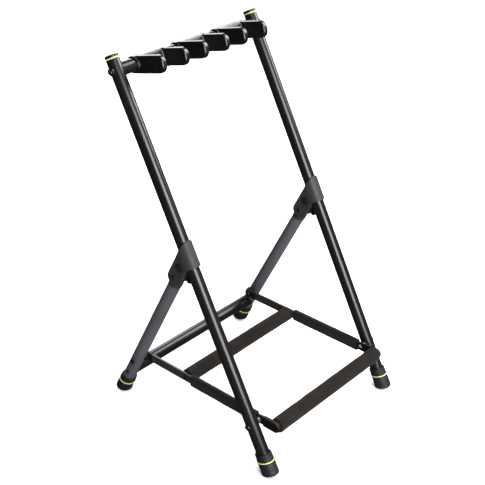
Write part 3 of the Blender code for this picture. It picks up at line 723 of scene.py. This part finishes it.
def stadium(straight, radius, count):
    """Points round an oval standing along the second axis, evenly spaced by angle and run."""
    length = 4 * straight + 2 * math.pi * radius
    found = []
    for step in range(count):
        run = length * step / count
        if run < math.pi * radius:
            angle = run / radius
            found.append((radius * math.cos(angle), straight + radius * math.sin(angle)))
        elif run < math.pi * radius + 2 * straight:
            found.append((-radius, straight - (run - math.pi * radius)))
        elif run < 2 * math.pi * radius + 2 * straight:
            angle = (run - 2 * straight) / radius
            found.append((radius * math.cos(angle), -straight + radius * math.sin(angle)))
        else:
            found.append((radius, -straight + (run - 2 * math.pi * radius - 2 * straight)))
    return np.array(found)


def sleeve(name, length, outer, inner, place, material, seed, around=96, step=0.0022):
    """Soft sleeve about local Z with plump rounded ends and slightly uneven skin.
    outer and inner are (straight half, radius) of its oval and of its hole."""
    edge = 0.0022
    uneven = waves(seed)
    fine = waves(seed + 50, 20, 0.0025, 0.012)
    half = length / 2
    rings = []
    for t in np.linspace(0, math.pi / 2, 7)[:-1]:
        rings.append((half - edge * (1 - math.cos(t)), edge * (1 - math.sin(t))))
    count = max(4, int(length / step))
    for height in np.linspace(half - edge, -half + edge, count):
        rings.append((height, 0.0))
    for height, inset in list(reversed(rings[:6])):
        rings.append((-height, inset))
    loops = []
    for height, inset in rings:
        loop = stadium(outer[0], outer[1] - inset, around)
        normal = loop - np.clip(loop, (0, -outer[0]), (0, outer[0]))
        normal /= np.maximum(np.hypot(*normal.T), 1e-9)[:, None]
        x, y = loop.T
        lift = uneven(x, y, height) * 0.00022 + fine(x, y, height) * 0.00008 - 0.0002
        loop = loop + normal * lift[:, None]
        loops.append(np.column_stack([loop, np.full(around, height)]))
    for height in (-half + 0.0006, half - 0.0006):
        loops.append(np.column_stack([stadium(*inner, around), np.full(around, height)]))
    points = np.concatenate(loops)
    faces = []
    for ring in range(len(loops)):
        low, high = ring * around, (ring + 1) % len(loops) * around
        for k in range(around):
            following = (k + 1) % around
            faces.append((low + k, low + following, high + following, high + k))
    obj = piece(name, points, faces, place, material, "tray", name)


def corner(side, sign):
    """Thin rubber boot over the arm's front end, round-nosed as the arm is."""
    pocket_r = ARM_HEIGHT / 2 + GAP
    outer_r = pocket_r + BOOT_WALL
    nose = FRONT_BAR - BAR_R + ARM_HEIGHT / 2
    end = -SIDE_FOAM_GAP - 5 * GAP

    def solid(px, py, pz):
        band = np.hypot(np.minimum(py - nose, 0), pz)
        body = smooth_max(band - outer_r, py - end, 0.0012)
        body = crossed(body, np.abs(px) - BOOT_WIDTH / 2, 0.0013)
        arm = np.maximum(band - pocket_r, np.abs(px) - ARM_THICKNESS / 2 - GAP)
        bar_end = np.maximum(np.hypot(py - FRONT_BAR, pz) - BAR_R - GAP, px * sign)
        return np.maximum(body, -np.minimum(arm, bar_end))

    name = f"corner_boot_{side}"
    place = TRAY @ Matrix.Translation((sign * ARM_X, 0, 0))
    low = (-BOOT_WIDTH / 2, nose - outer_r, -outer_r)
    moulded(name, solid, low, (BOOT_WIDTH / 2, end, outer_r), 0.0005, place, BOOT_RUBBER, "tray", name)


def tray():
    along_x = Matrix.Rotation(math.pi / 2, 4, "Y")
    along_y = Matrix.Rotation(-math.pi / 2, 4, "X")
    inner = ARM_X - ARM_THICKNESS / 2 - GAP
    front_half = ARM_X - BOOT_WIDTH / 2 - GAP
    bars = (("front_bar", FRONT_BAR, front_half), ("middle_bar", MIDDLE_BAR, inner - GAP))
    for name, y, half in bars:
        place = TRAY @ Matrix.Translation((0, y, 0)) @ along_x
        solid_bar(name + "_tube", BAR_R, inner, place, PAINT, "tray")
        seed = int(y * 1000) + 200
        sleeve(name + "_foam", 2 * half, (0.0, FOAM_R), (0.0, BAR_R + GAP), place, BAR_FOAM, seed)
    for side, sign in SIDES:
        x = sign * ARM_X
        flat_arm(side, sign)
        low, high = SIDE_FOAM_GAP, MIDDLE_BAR - FOAM_R - GAP
        place = TRAY @ Matrix.Translation((x, (low + high) / 2, 0)) @ along_y
        outer = (SIDE_FOAM_HEIGHT / 2 - SIDE_FOAM_WIDTH / 2, SIDE_FOAM_WIDTH / 2)
        hole = (ARM_HEIGHT / 2 + GAP - 0.0028, 0.0028)
        sleeve(f"side_foam_{side}", high - low, outer, hole, place, ARM_FOAM, 11 + sign)
        corner(side, sign)
        out = TRAY @ across(x + sign * (ARM_THICKNESS / 2 + GAP), MIDDLE_BAR, 0, sign)
        screw(f"middle_bar_screw_{side}", out, 0.0046, 0.0016, 0.0026, 0.020, STEEL, "tray",
              f"middle_bar_screw_{side}")
        pivot(side, sign)


def pivot(side, sign):
    """Bolt through the upright, bright spacer, and a hexagon lock nut on the arm's inner face."""
    under_head = LEG_X + TUBE_R + GAP
    inner = ARM_X - ARM_THICKNESS / 2 - GAP
    screw(f"tray_bolt_{side}", TRAY @ across(sign * under_head, sign=sign), 0.0058, 0.0032, BOLT_R,
          under_head - inner + 0.0035, STEEL, "front_frame", f"tray_bolt_{side}")
    low = ARM_X + ARM_THICKNESS / 2 + GAP
    high = LEG_X - TUBE_R - GAP
    half = (high - low) / 2
    bore = BOLT_R + GAP / 2
    ring = [(SPACER_R, 0.0001), (SPACER_R, -half), (bore, -half), (bore, half)]
    ring += [(SPACER_R, half), (SPACER_R, 0.0002)]
    lathe(f"tray_spacer_{side}", softened(ring, 0.0006, 3), TRAY @ across(sign * (high + low) / 2),
          BRIGHT_STEEL, "front_frame", f"tray_spacer_{side}", closed=True)
    nut = [(0.0038, 0.0050), (0.0046, 0.0047), (0.0048, 0.0036), (0.0055, 0.0034), (0.0060, 0.0028)]
    nut += [(0.0060, 0.0003), (0.0056, 0.0), (bore, 0.0), (bore, 0.0048)]
    lathe(f"tray_nut_{side}", nut, TRAY @ across(sign * inner, sign=-sign), BRIGHT_STEEL, "front_frame",
          f"tray_nut_{side}", closed=True, sides={3: 6, 4: 6, 5: 6, 6: 6}, segments=48)


# ---------------------------------------------------------------------------------------------
# Neck yokes
# ---------------------------------------------------------------------------------------------


def yoke_distance(x, y, z):
    """Sleeve, back wall and two round-tipped fingers reaching forward (local -Y), each with a
    sloping heel behind and a plain ring groove on its outer face."""
    half, outer, thick, reach = YOKE_HALF, FINGER_OUTER, FINGER_THICK, FINGER_REACH
    level = z + YOKE_DROP
    tip = rounded_box(y + reach / 2, level, reach / 2, half, FINGER_ROUNDING)
    heel_rise, heel_run = 0.0114, 0.0095
    heel = ((y - 0.003) * heel_rise - (z + half + YOKE_DROP) * heel_run) / 0.01484
    heel = np.maximum(np.maximum(heel, -half - level), np.maximum(z + 0.004, -y))
    rear = np.minimum(np.maximum(np.abs(level) - half, y), np.hypot(y, z) - half + YOKE_DROP)
    finger = np.where(y > -reach / 2, np.minimum(rear, heel), tip)
    fingers = crossed(finger, np.abs(np.abs(x) - outer + thick / 2) - thick / 2, 0.0034)
    sleeve_part = crossed(np.hypot(y, z) - YOKE_SLEEVE_R, np.abs(x) - YOKE_SLEEVE_HALF, 0.0012)
    wall = (-y - YOKE_WALL_Y + YOKE_WALL_SLOPE * z) / math.hypot(1, YOKE_WALL_SLOPE)
    wall = smooth_max(wall, np.abs(level) - half, 0.0022)
    wall = np.maximum(np.maximum(wall, y), np.abs(x) - outer + thick / 2)
    body = smooth_min(fingers, sleeve_part, 0.0016)
    body = smooth_min(body, wall, 0.0030)
    spot = np.hypot(y + reach - 0.0160, level)
    dish = np.maximum(np.abs(spot - 0.0042) - 0.0007, outer - 0.0006 - np.abs(x))
    body = smooth_max(body, -dish, 0.0005)
    return smooth_max(body, TUBE_R + GAP - np.hypot(y, z), 0.0006)


def yokes():
    low = (-0.039, -0.0735, -0.0178)
    high = (0.039, 0.0165, 0.0165)
    for name, index in (("left", -1), ("middle", 0), ("right", 1)):
        place = BAR @ Matrix.Translation((index * YOKE_SPACING, 0, 0))
        moulded(f"neck_yoke_{name}", yoke_distance, low, high, 0.0007, place, RUBBER, f"yoke_{name}",
                f"neck_yoke_{name}")


# ---------------------------------------------------------------------------------------------
# The whole object
# ---------------------------------------------------------------------------------------------


def frames():
    along_x = Matrix.Rotation(math.pi / 2, 4, "Y")
    down = -HINGE_T
    bar_half = LEG_X - 0.0045
    for side, sign in SIDES:
        x = sign * LEG_X
        tube(f"upright_{side}", TUBE_START, UPRIGHT_TOP, FRONT, x, PAINT, "front_frame")
        tube(f"rear_leg_{side}", down + TUBE_START, down + HINGE_END_T - GAP, REAR, x, GREY_PAINT,
             "rear_frame")
        foot(f"front_foot_{side}", FRONT, 0, x, "front_frame", RING_TILT)
        foot(f"rear_foot_{side}", REAR, down, x, "rear_frame", -RING_TILT)
        top_cap(side, x)
        crossbar_end(side, sign)
        bracket(side, sign)
        hinge_end(side, sign)
        outside = sign * (LEG_X + TUBE_R + GAP)
        bar_screw = REAR @ across(outside, 0, down + REAR_BAR_T, sign)
        screw(f"rear_bar_screw_{side}", bar_screw, 0.0045, 0.0024, SCREW_R, 0.032, STEEL, "rear_frame",
              f"rear_bar_screw_{side}")
        stud(side, sign, down + TRAY_S, outside)
    place = FRONT @ Matrix.Translation((0, 0, CROSSBAR_S)) @ along_x
    solid_bar("top_crossbar", TUBE_R, bar_half, place, PAINT, "front_frame")
    place = REAR @ Matrix.Translation((0, 0, down + REAR_BAR_T)) @ along_x
    solid_bar("rear_crossbar", TUBE_R, bar_half, place, PAINT, "rear_frame")


def stud(side, sign, up, outside):
    """Stud that the arm's hook drops over, with its head outside the leg and a rubber disc inside."""
    arm_outer = ARM_X + ARM_THICKNESS / 2
    arm_inner = ARM_X - ARM_THICKNESS / 2
    far = arm_inner - GAP - abs(outside)
    profile = [(0, 0.0011), (0.0020, 0.0011), (0.0022, 0.0022), (0.0044, 0.0020), (0.0055, 0.0009)]
    profile += [(0.0055, 0), (BOLT_R, 0), (BOLT_R, far), (0.0062, far), (0.0062, far - 0.0017)]
    profile += [(0.0047, far - 0.0034), (0, far - 0.0034)]
    lathe(f"rest_stud_{side}", softened(profile, 0.0004, 3), REAR @ across(outside, 0, up, sign), STEEL,
          "rear_frame", f"rest_stud_{side}")
    low = arm_outer + GAP
    high = LEG_X - TUBE_R - GAP
    half = (high - low) / 2
    bore = BOLT_R + GAP / 2
    disc = [(STUD_DISC_R, 0.0001), (STUD_DISC_R, -half), (bore, -half), (bore, half)]
    disc += [(STUD_DISC_R, half), (STUD_DISC_R, 0.0002)]
    lathe(f"stud_disc_{side}", softened(disc, 0.0009, 4), REAR @ across(sign * (high + low) / 2, 0, up),
          BOOT_RUBBER, "rear_frame", f"stud_disc_{side}", closed=True)


frames()
tray()
yokes()


# ---------------------------------------------------------------------------------------------
# Floor, light and camera
# ---------------------------------------------------------------------------------------------


def stage():
    """A pale floor. Glossy rays pass it by, so that the dark finishes stay dark underneath."""
    mesh = bpy.data.meshes.new("floor")
    reach = 12.0
    corners = [(-reach, -reach, 0), (reach, -reach, 0), (reach, reach, 0), (-reach, reach, 0)]
    mesh.from_pydata(corners, [], [(0, 1, 2, 3)])
    floor = bpy.data.objects.new("floor", mesh)
    made = Shader("pale_floor", 0.9, 0.1)
    grain = made.noise(3.0, 3.0)
    tint = made.mix(grain, (0.87, 0.87, 0.87), (0.90, 0.90, 0.90))
    mesh.materials.append(made.done(tint, 0.9))
    bpy.context.scene.collection.objects.link(floor)
    floor.visible_glossy = False


def aimed(obj, spot, aim):
    obj.location = spot
    obj.rotation_euler = (Vector(aim) - Vector(spot)).to_track_quat("-Z", "Y").to_euler()
    bpy.context.scene.collection.objects.link(obj)


def softbox(name, spot, aim, size, watts):
    light = bpy.data.lights.new(name, "AREA")
    light.shape = "RECTANGLE"
    light.size, light.size_y = size
    light.energy = watts
    aimed(bpy.data.objects.new(name, light), spot, aim)


def sky(strength, backdrop):
    """An even world: bright where the camera looks past the floor, dim for what it lights."""
    world = bpy.data.worlds.new("studio")
    world.use_nodes = True
    nodes = world.node_tree.nodes
    links = world.node_tree.links
    path = nodes.new("ShaderNodeLightPath")
    level = nodes.new("ShaderNodeMapRange")
    level.inputs["To Min"].default_value = strength
    level.inputs["To Max"].default_value = backdrop
    links.new(path.outputs["Is Camera Ray"], level.inputs["Value"])
    background = nodes["Background"]
    background.inputs["Color"].default_value = (1, 1, 1, 1)
    links.new(level.outputs["Result"], background.inputs["Strength"])
    bpy.context.scene.world = world


def lights():
    sky(WORLD_LIGHT, WORLD_BACKDROP)
    sun = bpy.data.lights.new("ceiling", "SUN")
    sun.energy = 3.7
    sun.angle = math.radians(70)
    ceiling = bpy.data.objects.new("ceiling", sun)
    ceiling.visible_glossy = False
    aimed(ceiling, (0.5, 0.4, 3.0), (0, 0, 0))
    middle = (0, 0, 0.35)
    softbox("key", (-0.60, -2.25, 1.15), middle, (1.4, 1.9), 120)
    softbox("right", (1.6, -0.7, 1.95), (0, 0.1, 0.65), (1.2, 1.8), 95)
    softbox("back", (1.2, 2.1, 1.6), middle, (1.4, 1.4), 45)


def camera():
    made = bpy.data.cameras.new("camera")
    made.sensor_width = SENSOR_MM
    made.lens = LENS_MM
    obj = bpy.data.objects.new("camera", made)
    spot = Vector((-1.2926, -1.1323, 1.2974))
    aim = Vector((-0.1268, -0.0832, 0.4222))
    obj.location = spot
    obj.rotation_euler = (aim - spot).to_track_quat("-Z", "Y").to_euler()
    bpy.context.scene.collection.objects.link(obj)
    bpy.context.scene.camera = obj


stage()
lights()
camera()
bpy.context.scene.view_settings.view_transform = "Standard"

bpy.context.view_layer.update()
